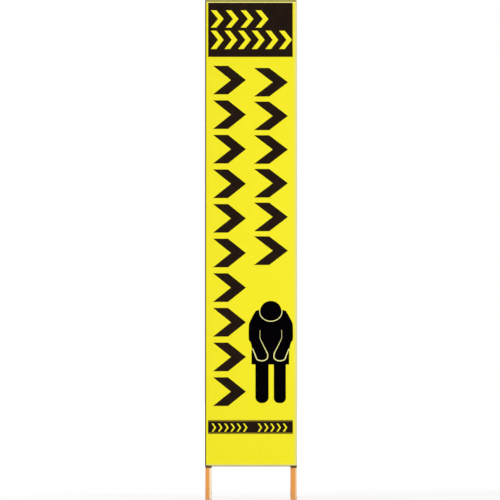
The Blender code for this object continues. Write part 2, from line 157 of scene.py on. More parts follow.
class NodeBook:
    """Adds nodes to one tree, of a material, a world or a piece of geometry."""

    def __init__(self, tree: NodeTree) -> None:
        """Takes the tree."""
        self.tree = tree

    @staticmethod
    def _pick(sockets: Iterable[NodeSocket], key: str | int) -> NodeSocket:
        """The socket at a place in the list, or the one in use that has the name."""
        named = (one for one in sockets if one.name == key and one.enabled)
        return list(sockets)[key] if isinstance(key, int) else next(named)

    def give(self, socket: NodeSocket, source: object) -> None:
        """Gives a socket a constant, or lets a node drive it.

        Args:
            socket: The socket.
            source: A number, a colour or a vector, or else a value, a socket or a node to link.
        """
        source = source.socket if isinstance(source, Value) else source
        source = self.out(source) if isinstance(source, Node) else source
        if isinstance(source, NodeSocket):
            self.tree.links.new(source, socket)
        else:
            socket.default_value = (*source, 1.0) if socket.type == "RGBA" else source

    def add(self, kind: str, inputs: dict | None = None, **settings: object) -> Node:
        """Adds one node.

        Args:
            kind: The node's type.
            inputs: What its sockets are given, by name or place.
            settings: Its settings, which are set first.

        Returns:
            The new node.
        """
        node = self.tree.nodes.new(kind)
        for name, value in settings.items():
            setattr(node, name, value)
        for key, source in (inputs or {}).items():
            self.give(self._pick(node.inputs, key), source)
        return node

    def out(self, node: Node, key: str | int = 0) -> NodeSocket:
        """The node's output at a place, or the one in use that has the name."""
        return self._pick(node.outputs, key)

    def value(self, node: Node, key: str | int = 0) -> Value:
        """A node's output as a number for arithmetic."""
        return Value(self, self.out(node, key))

    def math(self, operation: str, *operands: Value | float) -> Value:
        """Adds one Math node on the operands, in their order."""
        return self.value(self.add("ShaderNodeMath", dict(enumerate(operands)), operation=operation))

    def seen(self) -> Value:
        """1 for what the camera sees straight, mirrored or through glass, and 0 for soft light.

        Returns:
            That 1 or 0.
        """
        path = self.add("ShaderNodeLightPath")
        ways = [self.value(path, f"Is {way} Ray") for way in ("Camera", "Glossy", "Transmission")]
        return reduce(Value.most, ways)


@dataclass(frozen=True)
class Lean:
    """A frame turned about X at its origin, with its own axes across, depth and up."""

    origin: Triple
    turn: float

    def matrix(self) -> Matrix:
        """From the frame's own axes to the shared frame."""
        return Matrix.Translation(self.origin) @ Matrix.Rotation(self.turn, 4, "X")

    def way(self, across: float, up: float) -> Vector:
        """The direction in the shared frame of a move across and up the frame."""
        return self.matrix().to_3x3() @ Vector((across, 0.0, up))

    def facing(self, depth: float, base: float) -> Matrix:
        """From a flat drawing, across and up and out, to the frame's front at a depth and a height."""
        axes = Matrix(((1, 0, 0, 0), (0, 0, -1, depth), (0, 1, 0, base), (0, 0, 0, 1)))
        return self.matrix() @ axes

    def height_at(self, place: Vector) -> float:
        """How far up the frame a place is."""
        return (self.matrix().inverted() @ place).z

    def height_of(self, node: str) -> float:
        """How far up the frame a CAD node's middle is."""
        low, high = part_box(node)
        return self.height_at((low + high) / 2)


FOLD = next(Vector(one["pos_m"]) for one in frame["joints"] if one["name"] == "rear_frame_fold")
FRONT = Lean((0.0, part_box("left_front_foot")[0].y, 0.0), math.radians(-5.0))
REAR = Lean(tuple(FOLD), math.radians(14.0))


@dataclass(frozen=True)
class Grain:
    """Cloudy noise: clouds in a metre, finer layers and their strength, and any stretch along each axis."""

    per_metre: float
    layers: float = 2.0
    strength: float = 0.5
    stretch: Triple | None = None


# Finishes


@dataclass(frozen=True)
class Finish(NodeBook):
    """A finish, which adds its nodes to its own material, and the record's slot that it belongs to."""

    name: str
    slot: ClassVar[Slot]

    @cached_property
    def material(self) -> Material:
        """The finish's own material."""
        return bpy.data.materials.new(self.name)

    @cached_property
    def tree(self) -> NodeTree:
        """The material's nodes."""
        self.material.use_nodes = True
        return self.material.node_tree

    @cached_property
    def shader(self) -> Node:
        """The material's main shader."""
        return self.tree.nodes["Principled BSDF"]

    @cached_property
    def place(self) -> NodeSocket:
        """The piece's own coordinates."""
        return self.out(self.add("ShaderNodeTexCoord"), "Object")

    def feed(self, name: str, source: object) -> None:
        """Gives one socket of the shader a constant, or lets a node drive it."""
        self.give(self.shader.inputs[name], source)

    def leaning(self, lean: Lean) -> Node:
        """Coordinates in a leaning frame's own axes."""
        inputs = {"Vector": self.place, "Location": lean.origin, "Rotation": (lean.turn, 0.0, 0.0)}
        return self.add("ShaderNodeMapping", inputs, vector_type="TEXTURE")

    def axes(self, vector: Node | NodeSocket) -> tuple[Value, Value, Value]:
        """The three numbers of a vector."""
        node = self.add("ShaderNodeSeparateXYZ", {"Vector": vector})
        return self.value(node, 0), self.value(node, 1), self.value(node, 2)

    def clouds(self, grain: Grain, vector: Node | None = None) -> Node:
        """Adds a noise node.

        Args:
            grain: The noise.
            vector: Where it is read, if not on the piece's own coordinates.

        Returns:
            The node.
        """
        inputs = {"Vector": vector or self.place}
        if grain.stretch:
            inputs["Vector"] = self.add("ShaderNodeMapping", {**inputs, "Scale": grain.stretch})
        inputs.update({"Scale": grain.per_metre, "Detail": grain.layers, "Roughness": grain.strength})
        return self.add("ShaderNodeTexNoise", inputs)

    def noise(self, grain: Grain, vector: Node | None = None) -> Value:
        """Cloudy noise from 0 to 1, with its middle at 0.5."""
        return self.value(self.clouds(grain, vector))

    def blend(self, share: Value | float, first: object, second: object) -> NodeSocket:
        """Mixes two colours or colour sockets, by how much of the second one is taken."""
        inputs = {"Factor": share, "A": first, "B": second}
        return self.out(self.add("ShaderNodeMix", inputs, data_type="RGBA", clamp_factor=True), "Result")

    def bump(self, height: Value, distance: float, strength: float = 1.0) -> None:
        """Raises the surface a little, on top of any bump before it.

        Args:
            height: The height, from 0 to 1.
            distance: How far a height of 1 rises, in metres.
            strength: How much of the bump shows.
        """
        before = {"Normal": link.from_socket for link in self.shader.inputs["Normal"].links}
        inputs = {"Height": height, "Distance": distance, "Strength": strength, **before}
        self.feed("Normal", self.add("ShaderNodeBump", inputs))

    def dress(self) -> None:
        """Adds the finish's nodes."""


@cache
def material_of(finish: Finish) -> Material:
    """The material of a finish, dressed once."""
    finish.dress()
    return finish.material


def toned(colour: Colour, factor: float, lift: float = 0.0) -> Colour:
    """A colour made darker or lighter, and lifted towards white."""
    return tuple(min(1.0, channel * factor + lift) for channel in colour)


@dataclass(frozen=True)
class Section:
    """Where square tubes run, so that wear can follow their corners.

    Legs run up a leaning frame at a distance each side of its middle, with a stud at one height on their
    inner faces, and rails run across it at heights. The ring's edges are in halves of a tube.
    """

    lean: Lean
    half: float
    depth: float
    across: float | None = None
    heights: tuple[float, ...] = ()
    stud: float | None = None
    corner: Span = (0.0030, 0.0006)
    inner_face: Span = (0.0006, 0.0003)
    ring: tuple[Span, Span] = ((0.55, 0.68), (1.02, 0.86))
    rubbing: Grain = Grain(320.0, 3.0, 0.6)
    rubbed: Span = (0.40, 0.60)

    def corners(self, paint: Finish) -> Value:
        """1 along the tubes' corners, falling to 0 on their faces.

        Args:
            paint: The tubes' paint.

        Returns:
            That share.
        """
        across, depth, up = paint.axes(paint.leaning(self.lean))
        sideways = [abs(up - height) for height in self.heights]
        if self.across is not None:
            sideways = [abs(abs(across) - self.across)]
        nearest = reduce(Value.least, sideways, abs(depth - self.depth))
        return (self.half - nearest).step(self.corner)

    def scuffs(self, paint: Finish) -> Value:
        """1 in the broken ring that a stay rubs round the stud on each leg's inner face.

        Args:
            paint: The tubes' paint.

        Returns:
            That share.
        """
        across, depth, up = paint.axes(paint.leaning(self.lean))
        inner = (abs(across) - (self.across - self.half)).step(self.inner_face)
        inward = depth - self.depth
        rise = up - self.stud
        reach = (inward * inward + rise * rise).root() / self.half
        ring = reach.step(self.ring[0]) * reach.step(self.ring[1])
        return ring * inner * paint.noise(self.rubbing).step(self.rubbed)


@dataclass(frozen=True)
class PowderCoat(Finish):
    """Sprayed and baked paint: orange peel, cloudy tone, worn corners, and knocks near the floor."""

    section: Section | None = None
    colour: Colour = (0.800, 0.318, 0.062)
    worn: Colour = (0.30, 0.17, 0.09)
    dust: Colour = (0.36, 0.27, 0.17)
    tone: Grain = Grain(14.0, 3.0)
    peel: Grain = Grain(900.0, 1.0)
    peel_height: float = 0.00004
    knocks: Grain = Grain(230.0, 4.0, 0.62)
    knocked: Span = (0.70, 0.74)
    knock_depth: float = 0.00006
    low: Span = (0.075, 0.004)
    low_wear: float = 0.085
    corner_wear: float = 0.055
    rubbing: Grain = Grain(55.0, 4.0, 0.6)
    rubbed: Span = (0.48, 0.72)
    dusting: Grain = Grain(38.0, 4.0)
    dusted: Span = (0.22, 0.75)
    roughness: float = 0.42
    slot: ClassVar[Slot] = Slot.PAINT

    def marked(self, tint: NodeSocket) -> NodeSocket:
        """The paint's colour with the marks that only some tubes have."""
        return tint

    def dress(self) -> None:
        """Adds the finish's nodes."""
        cloud = self.noise(self.tone)
        tint = self.blend(cloud, toned(self.colour, 0.94), toned(self.colour, 1.06))
        low = self.axes(self.place)[2].step(self.low)
        exposed = low * self.low_wear
        rubbed = 0.0
        if self.section:
            corners = self.section.corners(self)
            exposed = exposed + corners * self.corner_wear
            rubbed = corners * self.noise(self.rubbing).step(self.rubbed) * 0.5
        chipped = (self.noise(self.knocks) + exposed).step(self.knocked)
        dusty = (self.noise(self.dusting) * low).step(self.dusted) * 0.30
        tint = self.blend(dusty, tint, self.dust)
        tint = self.blend(rubbed, tint, toned(self.colour, 1.12, 0.05))
        roughness = self.roughness + (cloud - 0.5) * 0.14 + chipped * 0.22 + dusty * 0.3 - rubbed * 0.2
        if self.section and self.section.stud is not None:
            scuffed = self.section.scuffs(self)
            tint = self.blend(scuffed * 0.7, tint, self.worn)
            roughness = roughness + scuffed * 0.12
        self.feed("Base Color", self.blend(chipped, self.marked(tint), self.worn))
        self.feed("Roughness", roughness)
        self.bump(self.noise(self.peel), self.peel_height)
        self.bump(1.0 - chipped, self.knock_depth)
        self.feed("Coat Weight", 0.12)
        self.feed("Coat Roughness", 0.18)
        self.feed("Specular IOR Level", 0.42)


@dataclass(frozen=True)
class UprightPaint(PowderCoat):
    """Paint on the uprights, with a paler strip down one side of each as painted highlight, and a dark line
    under the board's lower edge as painted shadow.
    """

    board_edge: float = 0.0
    painted_highlight: Colour = (0.92, 0.66, 0.39)
    palest_painted_highlight: Colour = (0.97, 0.88, 0.70)
    painted_board_shadow: Colour = (0.115, 0.032, 0.002)
    front_face: Span = (0.0060, 0.0030)
    shelter: Span = (-0.001, 0.001)
    right_strip: Span = (0.0133, 0.0157)
    left_strip: Span = (-0.0090, -0.0066)
    left_side: Span = (0.0, -0.01)
    palest_highlight_strip: Span = (-0.0066, -0.0022)
    wander: Grain = Grain(110.0, 4.0, 0.6, (1.0, 1.0, 0.25))
    wander_reach: float = 0.0016
    board_shadow_foot: Span = (0.0064, 0.0041)
    board_shadow_head: Span = (-0.004, 0.0)
    board_shadow_depth: Span = (0.0150, 0.0070)
    specks: Grain = Grain(420.0, 3.0)

    def marked(self, tint: NodeSocket) -> NodeSocket:
        """The paint's colour with the painted highlight strip and the painted shadow line.

        Args:
            tint: The colour so far.

        Returns:
            The colour with the marks.
        """
        across, depth, up = self.axes(self.leaning(self.section.lean))
        below = self.board_edge - up
        front = depth.step(self.front_face) * below.step(self.shelter)
        face = self.section.across - self.section.half
        # A paler strip down one side of each upright's front face is painted highlight, palest near the left
        # upright's inner edge.
        strip = across + (self.noise(self.wander) - 0.5) * self.wander_reach
        right = (strip - face).step(self.right_strip)
        left = (strip + face).step(self.left_strip) * across.step(self.left_side)
        tint = self.blend(right.most(left) * front * 0.85, tint, self.painted_highlight)
        inward = left * (across + face).step(self.palest_highlight_strip)
        tint = self.blend(inward * front * 0.8, tint, self.palest_painted_highlight)
        # A ragged dark line just under the board's lower edge is painted shadow of the board.
        line = below.step(self.board_shadow_foot) * below.step(self.board_shadow_head)
        ragged = line * (0.80 + self.noise(self.specks) * 0.4) * depth.step(self.board_shadow_depth)
        return self.blend(ragged, tint, self.painted_board_shadow)


@dataclass(frozen=True)
class SheetFinish(Finish):
    """A finish that shows the honeycomb of the reflective sheet's closed cells."""

    cell: ClassVar[float] = 0.0034
    seam_share: ClassVar[float] = 0.055
    seam_core: ClassVar[float] = 0.35
    slot: ClassVar[Slot] = Slot.SHEET

    def comb(self, vector: Node) -> Value:
        """The honeycomb's seams.

        Args:
            vector: Coordinates in the board's axes.

        Returns:
            1 on a seam and 0 inside a cell.
        """
        across, _, up = self.axes(vector)
        column = across / self.cell
        row = up / (self.cell * math.sqrt(3.0))

        def in_cell(shift: float) -> tuple[Value, Value]:
            """The squared distance to the middle of a cell, and how near the seam is, in a shifted grid."""
            x, y = (abs((place + shift).fraction() - 0.5) for place in (column, row))
            # A row is sqrt(3) cells high, which gives the 3 here and the 1.5 along a slanted seam.
            return x * x + y * y * 3.0, x.most(x * 0.5 + y * 1.5)

        near, near_edge = in_cell(0.0)
        far, far_edge = in_cell(0.5)
        first = near < far
        edge = near_edge * first + far_edge * (1.0 - first)
        return edge.step((0.5 - self.seam_share, 0.5 - self.seam_share * self.seam_core))


@dataclass(frozen=True)
class ReflectiveSheet(SheetFinish):
    """Fluorescent reflective sheet: a fine honeycomb of closed cells under a film, with duller, paler bands
    painted along its right, lower and upper edges as painted highlight.
    """

    right_edge: float
    upper_edge: float
    lower_edge: float
    colour: Colour = (0.905, 0.812, 0.008)
    seam: Colour = (0.93, 0.86, 0.22)
    dirt: Colour = (0.50, 0.44, 0.12)
    rim_highlight: Colour = (0.80, 0.735, 0.20)
    top_rim_highlight: Colour = (0.96, 0.90, 0.36)
    tone: Grain = Grain(5.5, 3.0)
    streaking: Grain = Grain(1.0, 4.0, 0.6, (60.0, 1.0, 2.2))
    streaked: Span = (0.56, 0.86)
    side: Span = (0.0075, 0.0)
    foot: Span = (0.0045, 0.0020)
    head: Span = (0.0064, 0.0044)
    seam_height: float = 0.00003
    ripple: Grain = Grain(7.0, 1.0)
    ripple_height: float = 0.0006
    ripple_strength: float = 0.35

    def dress(self) -> None:
        """Adds the finish's nodes."""
        vector = self.leaning(FRONT)
        seams = self.comb(vector)
        streaks = self.noise(self.streaking, vector)
        tint = self.blend(self.noise(self.tone, vector), toned(self.colour, 0.985), self.colour)
        tint = self.blend(seams * 0.35, tint, self.seam)
        tint = self.blend(streaks.step(self.streaked) * 0.10, tint, self.dirt)
        across, _, up = self.axes(vector)
        # Paler bands along the sheet's right, lower and upper edges are painted highlight, palest along the
        # top.
        side = (self.right_edge - across).step(self.side)
        foot = (up - self.lower_edge).step(self.foot)
        head = (self.upper_edge - up).step(self.head)
        rim_highlight = side.most(foot).most(head)
        tint = self.blend(rim_highlight, tint, self.rim_highlight)
        self.feed("Base Color", self.blend(head, tint, self.top_rim_highlight))
        self.feed("Roughness", 0.30 + seams * 0.16 + streaks * 0.08 + rim_highlight * 0.1)
        self.bump(seams, self.seam_height)
        self.bump(self.noise(self.ripple, vector), self.ripple_height, self.ripple_strength)
        self.feed("Specular IOR Level", 0.09)


@dataclass(frozen=True)
class ScreenInk(SheetFinish):
    """Opaque ink screened on the sheet, which shows the cells under it faintly."""

    colour: Colour
    thin: Colour
    gloss: float = 0.05
    film: Grain = Grain(26.0, 4.0, 0.6)
    thinned: Span = (0.42, 0.75)
    seam_height: float = 0.00002

    def dress(self) -> None:
        """Adds the finish's nodes."""
        vector = self.leaning(FRONT)
        seams = self.comb(vector)
        film = self.noise(self.film, vector)
        thinned = film.step(self.thinned) * 0.7 + seams * 0.2
        self.feed("Base Color", self.blend(thinned, self.colour, self.thin))
        self.feed("Roughness", 0.46 + film * 0.12 - seams * 0.08)
        self.bump(seams, self.seam_height)
        self.feed("Specular IOR Level", self.gloss)


@dataclass(frozen=True)
class Crystals:
    """Crystals in a coating: how many in a metre, and the noise that frays them and its reach."""

    per_metre: float
    fraying: Grain
    reach: float


@dataclass(frozen=True)
class CoatedPlate(Finish):
    """Zinc-coated sheet steel: a soft spangle and rain streaks, with duller bends round the front, painted
    highlight on the right and lower bends, painted shade on the left and top bends, and a painted shade line
    along the lower edge.
    """

    half_width: float
    top: float
    bottom: float
    colour: Colour = (0.70, 0.705, 0.68)
    dark: Colour = (0.54, 0.545, 0.52)
    painted_left_rim_shade: Colour = (0.030, 0.023, 0.001)
    painted_top_rim_shade: Colour = (0.31, 0.260, 0.006)
    edge: Colour = (0.73, 0.70, 0.28)
    painted_foot_shade: Colour = (0.070, 0.046, 0.014)
    rim: Span = (0.0040, 0.0034)
    front_face: Span = (0.0054, 0.0024)
    corner: Span = (0.0215, 0.0190)
    foot_shade_reach: Span = (0.0018, 0.0008)
    corner_shade_reach: Span = (0.0030, 0.0016)
    uneven: Grain = Grain(160.0, 3.0)
    uneven_reach: float = 0.0016
    streaking: Grain = Grain(1.0, 3.0, 0.5, (85.0, 30.0, 3.0))
    coarse: Crystals = Crystals(95.0, Grain(210.0, 4.0, 0.6), 0.0055)
    fine: Crystals = Crystals(260.0, Grain(600.0, 4.0, 0.6), 0.0022)
    spangle_height: float = 0.00002
    slot: ClassVar[Slot] = Slot.PLATE

    def shades(self, layer: Crystals, vector: Node) -> Value:
        """One layer of the coating's crystals, each in its own shade.

        Args:
            layer: The layer.
            vector: Coordinates in the board's axes.

        Returns:
            A random number for each crystal.
        """
        cloud = self.out(self.clouds(layer.fraying, vector), "Color")
        inputs = {0: cloud, 1: (layer.reach,) * 3, 2: vector}
        pushed = self.add("ShaderNodeVectorMath", inputs, operation="MULTIPLY_ADD")
        cells = self.add("ShaderNodeTexVoronoi", {"Vector": pushed, "Scale": layer.per_metre}, feature="F1")
        return self.axes(self.out(cells, "Color"))[0]

    def dress(self) -> None:
        """Adds the finish's nodes."""
        vector = self.leaning(FRONT)
        across, depth, up = self.axes(vector)
        spangle = self.shades(self.coarse, vector) * 0.7 + self.shades(self.fine, vector) * 0.3
        shade = spangle * 0.6 + self.noise(self.streaking, vector) * 0.3
        tint = self.blend(shade, self.colour, self.dark)
        front = (depth + self.noise(self.uneven, vector) * self.uneven_reach).step(self.front_face)
        low = up - self.bottom
        insets = (self.half_width - across, low, self.half_width + across, self.top - up)
        right, foot, left, head = (inset.step(self.rim) * front for inset in insets)
        dulled = right.most(foot).most(left).most(head)
        # Pale colour on the right and lower bends is painted highlight.
        tint = self.blend(right.most(foot), tint, self.edge)
        # A dark line along the plate's lower edge, reaching higher over the uprights, is painted shade under
        # the board.
        corner = (self.half_width - abs(across)).step(self.corner)
        painted_foot_shade = low.step(self.foot_shade_reach).most(low.step(self.corner_shade_reach) * corner)
        tint = self.blend(painted_foot_shade * front, tint, self.painted_foot_shade)
        # Olive colour on the top bend and near-black on the left bend are painted shade.
        tint = self.blend(head, tint, self.painted_top_rim_shade)
        self.feed("Base Color", self.blend(left, tint, self.painted_left_rim_shade))
        self.feed("Roughness", 0.40 + spangle * 0.12 + dulled * 0.4)
        self.feed("Metallic", 0.45 - dulled * 0.42)
        self.bump(spangle, self.spangle_height)
        self.feed("Specular IOR Level", 0.12)


@dataclass(frozen=True)
class ZincPlating(Finish):
    """Bright zinc plating over turned or pressed steel, with fine tool marks and dull stains."""

    colour: Colour = (0.62, 0.63, 0.63)
    stain: Colour = (0.42, 0.41, 0.37)
    brushed: Triple = (1.0, 0.08, 0.08)
    marks_per_metre: float = 2600.0
    mark_height: float = 0.00001
    staining: Grain = Grain(150.0, 4.0, 0.6)
    dulled: Span = (0.50, 0.78)
    roughness: float = 0.30
    slot: ClassVar[Slot] = Slot.ZINC

    def dress(self) -> None:
        """Adds the finish's nodes."""
        marks = self.noise(Grain(self.marks_per_metre, 2.0, 0.6, self.brushed))
        stains = self.noise(self.staining).step(self.dulled)
        self.feed("Base Color", self.blend(stains * 0.75, self.colour, self.stain))
        self.feed("Roughness", self.roughness + marks * 0.10 + stains * 0.22)
        self.bump(marks, self.mark_height)
        self.feed("Metallic", 1.0)


@dataclass(frozen=True)
class MouldedPlastic(Finish):
    """Moulded plastic with a spark-eroded grain, scuffed paler where it meets the ground."""

    colour: Colour
    scuff: Colour
    grain: Grain = Grain(1900.0)
    grain_height: float = 0.00003
    tone: Grain = Grain(60.0)
    scuffing: Grain = Grain(420.0, 4.0, 0.65)
    scuffed: Span = (0.58, 0.72)
    low: Span = (0.006, 0.0)
    roughness: float = 0.52
    slot: ClassVar[Slot] = Slot.PLASTIC

    def dress(self) -> None:
        """Adds the finish's nodes."""
        grain = self.noise(self.grain)
        low = self.axes(self.place)[2].step(self.low)
        scuffs = (self.noise(self.scuffing) + low * 0.16).step(self.scuffed) * low
        tint = self.blend(self.noise(self.tone) * 0.3, self.colour, toned(self.colour, 0.8))
        self.feed("Base Color", self.blend(scuffs, tint, self.scuff))
        self.feed("Roughness", self.roughness + (grain - 0.5) * 0.1 + scuffs * 0.2)
        self.bump(grain, self.grain_height)
        self.feed("Specular IOR Level", 0.42)


class MouldedNylon(MouldedPlastic):
    """The same for the nylon washers."""

    slot: ClassVar[Slot] = Slot.NYLON


@dataclass(frozen=True)
class PaleFloor(Finish):
    """A floor that the camera sees nearly white, with the sign's own soft shadow near it."""

    shade: Colour = (0.90, 0.90, 0.90)
    near_share: float = 0.36
    far_share: float = 0.85
    far: Span = (1.2, 3.2)
    glow: float = 1.30

    def dress(self) -> None:
        """Adds the finish's nodes."""
        self.feed("Base Color", self.shade)
        self.feed("Roughness", 0.9)
        self.feed("Specular IOR Level", 0.0)
        glow = self.add("ShaderNodeEmission", {"Color": WHITE, "Strength": self.glow})
        x, y, _ = self.axes(self.place)
        far = (x * x + y * y).root().step(self.far)
        share = self.seen() * (self.near_share + far * (self.far_share - self.near_share))
        mixed = self.add("ShaderNodeMixShader", {0: share, 1: self.shader, 2: glow})
        self.give(self.tree.nodes["Material Output"].inputs["Surface"], mixed)


BRACKET_PAINT = PowderCoat("orange_bracket_paint")
RIVET_METAL = ZincPlating("rivet_metal", (0.66, 0.66, 0.67), roughness=0.38)
FASTENER_ZINC = ZincPlating("zinc_fasteners")
STAY_ZINC = ZincPlating("zinc_stays", brushed=(1.0, 0.05, 1.0), roughness=0.34)
ORANGE_PLASTIC = MouldedPlastic("orange_plastic", (0.74, 0.31, 0.09), (0.55, 0.42, 0.30))
PANEL_INK = ScreenInk("brown_black_screen_ink", (0.0104, 0.0044, 0.0018), (0.0185, 0.0094, 0.0042))
EDGE_INK = ScreenInk("brown_screen_ink", (0.205, 0.150, 0.010), (0.245, 0.180, 0.015))
# This olive ink prints a line along the sheet's top edge that is painted shade.
TOP_SHADE_INK = ScreenInk("olive_screen_ink", (0.320, 0.268, 0.007), (0.370, 0.300, 0.015))
FIGURE_INK = ScreenInk("black_screen_ink", (0.0006, 0.0003, 0.0008), (0.002, 0.001, 0.002), 0.004)
PALE_INK = ScreenInk("pale_yellow_screen_ink", (0.80, 0.78, 0.29), (0.84, 0.82, 0.36))
WHITE_NYLON = MouldedNylon("white_nylon", (0.74, 0.73, 0.69), (0.6, 0.58, 0.5))


# Shapes


def in_scene(name: str, data: ID) -> Object:
    """A new object at the origin of the scene.

    Args:
        name: Its name.
        data: Its mesh, curve, lamp or camera.

    Returns:
        The object.
    """
    thing = bpy.data.objects.new(name, data)
    bpy.context.scene.collection.objects.link(thing)
    return thing


def evaluated_mesh(thing: Object) -> Mesh:
    """Applies an object's modifiers and removes the object.

    Args:
        thing: The object.

    Returns:
        Its plain mesh, in the shared frame.
    """
    bpy.context.view_layer.update()
    graph = bpy.context.evaluated_depsgraph_get()
    source = thing.evaluated_get(graph)
    mesh = bpy.data.meshes.new_from_object(source, preserve_all_data_layers=True, depsgraph=graph)
    mesh.transform(thing.matrix_world)
    bpy.data.objects.remove(thing, do_unlink=True)
    return mesh


def closed(name: str, work: BMesh) -> Mesh:
    """A new mesh from finished work.

    Args:
        name: Its name.
        work: The work, which is used up.

    Returns:
        The mesh.
    """
    mesh = bpy.data.meshes.new(name)
    work.to_mesh(mesh)
    work.free()
    return mesh


def merge(work: BMesh) -> None:
    """Merges the doubles of a mesh at work."""
    bmesh.ops.remove_doubles(work, verts=work.verts, dist=MERGE_DISTANCE)


def drop_slivers(work: BMesh) -> None:
    """Removes what has no length or area from a mesh at work."""
    bmesh.ops.dissolve_degenerate(work, edges=work.edges, dist=MERGE_DISTANCE)


def outward(name: str, work: BMesh) -> Mesh:
    """A new mesh from finished work, with its doubles merged and its faces pointing out.

    Args:
        name: Its name.
        work: The work, which is used up.

    Returns:
        The mesh.
    """
    merge(work)
    bmesh.ops.recalc_face_normals(work, faces=work.faces)
    return closed(name, work)


def smoothed(mesh: Mesh) -> Mesh:
    """Shades a mesh smooth, with sharp edges where it bends by more than the smooth angle.

    Args:
        mesh: The mesh.

    Returns:
        The same mesh.
    """
    mesh.shade_smooth()
    mesh.set_sharp_from_angle(angle=SMOOTH_ANGLE)
    return mesh


def edge_broken(name: str, node: str, width: float) -> Mesh:
    """A copy of a CAD node's mesh with its flat faces made whole and its sharp edges broken.

    Args:
        name: The name of the result.
        node: The CAD node.
        width: How wide the small round on each edge is.

    Returns:
        The mesh, shaded smooth.
    """
    thing = in_scene(name, cad_copy(node))
    bevel = thing.modifiers.new("edge_break", "BEVEL")
    bevel.width = width
    bevel.segments = 2
    bevel.limit_method = "ANGLE"
    bevel.angle_limit = SMOOTH_ANGLE
    bevel.miter_outer = "MITER_ARC"
    work = bmesh.new()
    work.from_mesh(evaluated_mesh(thing))
    drop_slivers(work)
    return smoothed(closed(name, work))


def cad_copy(node: str) -> Mesh:
    """A merged copy of a CAD node's mesh, with its flat faces made whole.

    Args:
        node: The CAD node.

    Returns:
        The copy.
    """
    work = bmesh.new()
    work.from_mesh(frame["nodes"][node].data)
    merge(work)
    bmesh.ops.dissolve_limit(work, angle_limit=FLAT_ANGLE, verts=work.verts, edges=work.edges)
    return closed(node, work)


def drawn_shape(name: str, outline: Sequence[Point], thickness: float, matrix: Matrix) -> Mesh:
    """A flat piece with a drawn outline.

    Args:
        name: The mesh's name.
        outline: The points of its closed outline.
        thickness: How far the piece stands out from the drawing.
        matrix: From the drawing to the shared frame.

    Returns:
        The closed mesh.
    """
    curve = bpy.data.curves.new(name, "CURVE")
    curve.dimensions = "2D"
    curve.fill_mode = "BOTH"
    curve.extrude = thickness / 2
    spline = curve.splines.new("POLY")
    spline.use_cyclic_u = True
    spline.points.add(len(outline) - 1)
    for point, (x, y) in zip(spline.points, outline):
        point.co = (x, y, 0.0, 1.0)
    work = bmesh.new()
    work.from_mesh(evaluated_mesh(in_scene(name, curve)))
    bmesh.ops.translate(work, verts=work.verts, vec=(0.0, 0.0, thickness / 2))
    bmesh.ops.transform(work, matrix=matrix, verts=work.verts)
    merge(work)
    drop_slivers(work)
    return outward(name, work)


def turned(name: str, profile: Sequence[Point]) -> Mesh:
    """A piece turned round X.

    Args:
        name: The mesh's name.
        profile: Places along X and radii, which start and end at radius 0.

    Returns:
        The closed mesh.
    """
    work = bmesh.new()
    line = [work.verts.new((along, radius, 0.0)) for along, radius in profile]
    edges = [work.edges.new(pair) for pair in zip(line, line[1:])]
    bmesh.ops.spin(work, geom=line + edges, cent=(0, 0, 0), axis=(1, 0, 0), angle=math.tau, steps=20)
    return outward(name, work)


def rectangle(low: Point, high: Point) -> list[Point]:
    """An upright rectangle as an outline."""
    return [low, (high[0], low[1]), high, (low[0], high[1])]


def oval(centre: Point, radii: Point, turn: Span, steps: int = OVAL_STEPS) -> list[Point]:
    """Points along an upright oval.

    Args:
        centre: Its middle.
        radii: Half its width and half its height.
        turn: The angles where the points start and end, in degrees.
        steps: Into how many pieces the line is cut.

    Returns:
        The points, ends included.
    """
    start, end = map(math.radians, turn)
    angles = [start + (end - start) * step / steps for step in range(steps + 1)]
    (x, y), (across, up) = centre, radii
    return [(x + across * math.cos(angle), y + up * math.sin(angle)) for angle in angles]


def flowing(points: Sequence[Point], steps: int = 5) -> list[Point]:
    """Points along a smooth line through the given ones.

    Args:
        points: What the line passes through.
        steps: Into how many pieces each stretch is cut.

    Returns:
        The line's points, ends included.
    """
    line: list[Point] = []
    ends = [points[0], *points, points[-1]]
    for place in range(len(points) - 1):
        around = ends[place : place + 4]
        for step in range(steps):
            t = step / steps
            # These weights of the four points around a stretch carry the line through the middle two.
            inner = (2 - 5 * t**2 + 3 * t**3, t + 4 * t**2 - 3 * t**3)
            weights = (-t + 2 * t**2 - t**3, *inner, t**3 - t**2)
            x, y = (sum(w * point[axis] for w, point in zip(weights, around)) / 2 for axis in (0, 1))
            line.append((x, y))
    return [*line, points[-1]]


def stroke(points: Sequence[Point], start_width: float, end_width: float) -> list[Point]:
    """The outline of a line through points, with square ends and mitred bends.

    Args:
        points: What the line passes through.
        start_width: Its width at the first point.
        end_width: Its width from halfway to the last point.

    Returns:
        The outline.
    """
    sides: tuple[list[complex], list[complex]] = ([], [])
    line = [complex(*point) for point in points]
    for place, here in enumerate(line):
        width = start_width + (end_width - start_width) * min(1.0, 2 * place / (len(line) - 1))
        moves = (here - line[max(0, place - 1)], line[min(len(line) - 1, place + 1)] - here)
        ways = [move / abs(move) for move in moves if move]
        reach = 1j * sum(ways) * width * len(ways) / abs(sum(ways)) ** 2 / 2
        sides[0].append(here + reach)
        sides[1].append(here - reach)
    return [(spot.real, spot.imag) for spot in sides[0] + sides[1][::-1]]


